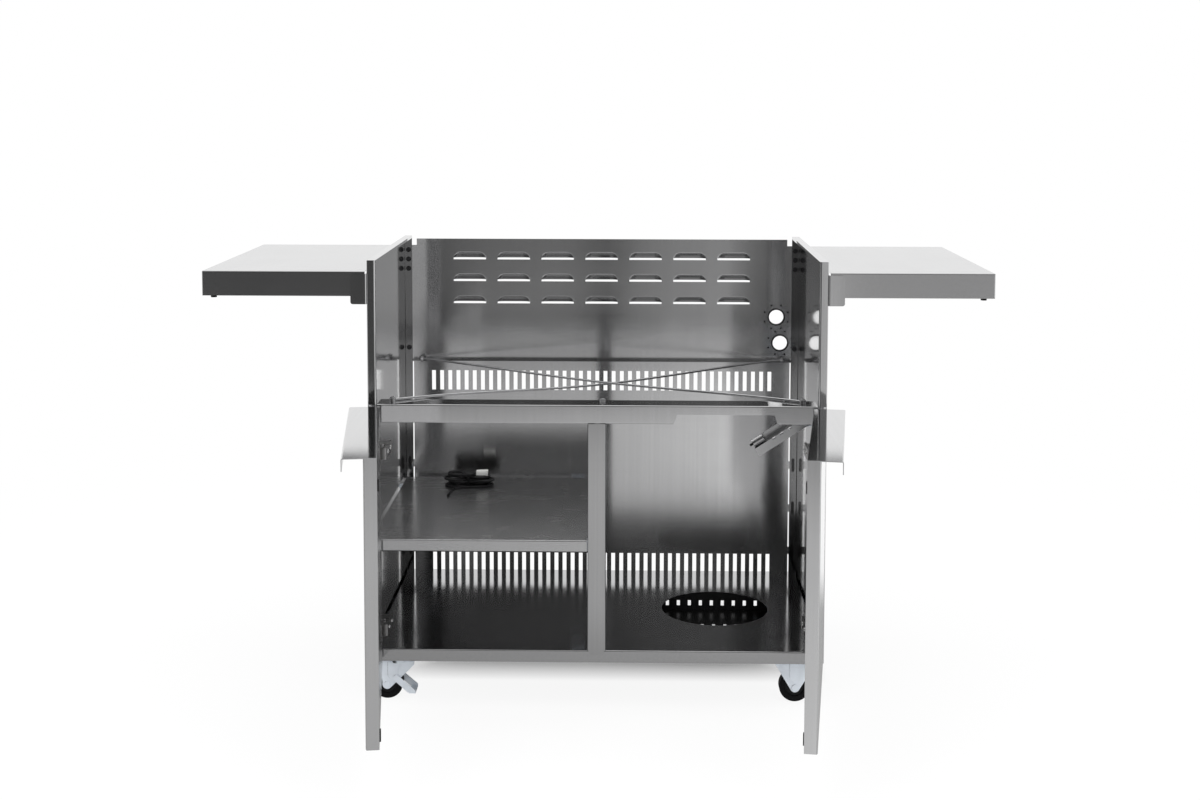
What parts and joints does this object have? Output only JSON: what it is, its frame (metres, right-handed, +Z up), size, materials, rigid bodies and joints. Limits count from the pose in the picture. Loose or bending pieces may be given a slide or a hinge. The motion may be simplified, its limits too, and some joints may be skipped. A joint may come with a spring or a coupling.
{
  "type": "grill cart",
  "caption": "Free-standing stainless cart on casters for a drop-in grill, with two hinged doors, fold-down side shelves, an inner shelf and a gas cylinder place.",
  "frame": {"origin": "on the floor, in the middle of the footprint with the doors open", "axes": "+X to the right as seen from the front, +Y to the back panel, +Z up"},
  "size_m": [1.583, 1.025, 0.914],
  "materials": {
    "stainless": "brushed stainless sheet",
    "zinc_plate": "bright zinc plating on pressed steel",
    "bolt_steel": "plain bolt steel",
    "black_steel": "blackened nuts and bolts",
    "rod_steel": "drawn bright rod",
    "hinge_nickel": "nickel plated pressings",
    "tread_rubber": "moulded tread rubber",
    "hub_plastic": "moulded hub",
    "black_rubber": "soft moulded rubber",
    "grommet_plastic": "moulded sleeve",
    "cord_jacket": "round lead jacket",
    "connector_plastic": "moulded connector"
  },
  "bodies": {
    "cabinet": {"body_bolts": "black_steel", "brace_bolts": "bolt_steel", "brace_rod_a": "rod_steel", "brace_rod_b": "rod_steel", "caster_bolts": "zinc_plate", "caster_mounts": "zinc_plate", "centre_post": "stainless", "floor_pan": "stainless", "front_rail": "stainless", "hose_grommets": "grommet_plastic", "lead_connector": "connector_plastic", "left_hinge_arms": "hinge_nickel", "left_shelf_bracket": "stainless", "left_side_panel": "stainless", "lf_caster_plate": "zinc_plate", "lower_back_panel": "stainless", "lr_caster_plate": "zinc_plate", "mid_shelf": "stainless", "retainer_bracket": "zinc_plate", "rf_caster_fork": "zinc_plate", "right_hinge_arms": "hinge_nickel", "right_shelf_bracket": "stainless", "right_side_panel": "stainless", "rigid_caster_axles": "zinc_plate", "rr_caster_fork": "zinc_plate", "shelf_clips": "stainless", "shelf_pivot_bolts": "bolt_steel", "tank_tray": "stainless", "upper_back_panel": "stainless", "wiring_lead": "cord_jacket"},
    "right_door": {"right_door_skin": "stainless", "right_door_liner": "stainless", "right_door_handle": "stainless", "right_hinge_cups": "hinge_nickel", "right_door_bumpers": "black_rubber"},
    "left_door": {"left_door_skin": "stainless", "left_door_liner": "stainless", "left_door_handle": "stainless", "left_hinge_cups": "hinge_nickel", "left_door_bumpers": "black_rubber"},
    "right_shelf": {"right_shelf_pan": "stainless", "right_shelf_feet": "black_rubber"},
    "left_shelf": {"left_shelf_pan": "stainless", "left_shelf_feet": "black_rubber"},
    "retainer": {"retainer_arm": "stainless"},
    "retainer_plunger": {"retainer_pin": "black_rubber"},
    "lf_fork": {"lf_caster_fork": "zinc_plate", "lf_axle": "zinc_plate"},
    "lf_brake": {"lf_brake_pedal": "zinc_plate"},
    "lr_fork": {"lr_caster_fork": "zinc_plate", "lr_axle": "zinc_plate"},
    "lr_brake": {"lr_brake_pedal": "zinc_plate"},
    "lf_wheel": {"lf_tyre": "tread_rubber", "lf_hub": "hub_plastic"},
    "lr_wheel": {"lr_tyre": "tread_rubber", "lr_hub": "hub_plastic"},
    "rf_wheel": {"rf_tyre": "tread_rubber", "rf_hub": "hub_plastic"},
    "rr_wheel": {"rr_tyre": "tread_rubber", "rr_hub": "hub_plastic"}
  },
  "joints": [
    {"name": "right_door_hinge", "type": "hinge", "parent": "cabinet", "child": "right_door", "pos_m": [0.448, -0.06434, 0.346], "axis": [0, 0, 1], "range_deg": [-82, 16]},
    {"name": "left_door_hinge", "type": "hinge", "parent": "cabinet", "child": "left_door", "pos_m": [-0.448, -0.06434, 0.346], "axis": [0, 0, -1], "range_deg": [-82, 16]},
    {"name": "right_shelf_fold", "type": "hinge", "parent": "cabinet", "child": "right_shelf", "pos_m": [0.477, 0.22866, 0.85], "axis": [0, 1, 0], "range_deg": [0, 90]},
    {"name": "left_shelf_fold", "type": "hinge", "parent": "cabinet", "child": "left_shelf", "pos_m": [-0.477, 0.22866, 0.85], "axis": [0, -1, 0], "range_deg": [0, 90]},
    {"name": "lf_swivel", "type": "hinge", "parent": "cabinet", "child": "lf_fork", "pos_m": [-0.407, 0.00666, 0.085], "axis": [0, 0, 1], "continuous": true},
    {"name": "lf_spin", "type": "hinge", "parent": "lf_fork", "child": "lf_wheel", "pos_m": [-0.432, 0.00666, 0.03175], "axis": [0, 1, 0], "continuous": true},
    {"name": "lf_brake_press", "type": "hinge", "parent": "lf_fork", "child": "lf_brake", "pos_m": [-0.413, 0.00666, 0.046], "axis": [0, 1, 0], "range_deg": [0, 10]},
    {"name": "lr_swivel", "type": "hinge", "parent": "cabinet", "child": "lr_fork", "pos_m": [-0.407, 0.45066, 0.085], "axis": [0, 0, 1], "continuous": true},
    {"name": "lr_spin", "type": "hinge", "parent": "lr_fork", "child": "lr_wheel", "pos_m": [-0.432, 0.45066, 0.03175], "axis": [0, 1, 0], "continuous": true},
    {"name": "lr_brake_press", "type": "hinge", "parent": "lr_fork", "child": "lr_brake", "pos_m": [-0.413, 0.45066, 0.046], "axis": [0, 1, 0], "range_deg": [0, 10]},
    {"name": "rf_spin", "type": "hinge", "parent": "cabinet", "child": "rf_wheel", "pos_m": [0.407, 0.00666, 0.03175], "axis": [0, 1, 0], "continuous": true},
    {"name": "rr_spin", "type": "hinge", "parent": "cabinet", "child": "rr_wheel", "pos_m": [0.407, 0.45066, 0.03175], "axis": [0, 1, 0], "continuous": true},
    {"name": "retainer_swing", "type": "hinge", "parent": "cabinet", "child": "retainer", "pos_m": [0.428, 0.02866, 0.577], "axis": [0, 1, 0], "range_deg": [-57, 33]},
    {"name": "plunger_push", "type": "slide", "parent": "retainer", "child": "retainer_plunger", "axis": [0.8387, 0, 0.5446], "range_m": [0, 0.006], "stiffness_N_per_m": 200}
  ]
}
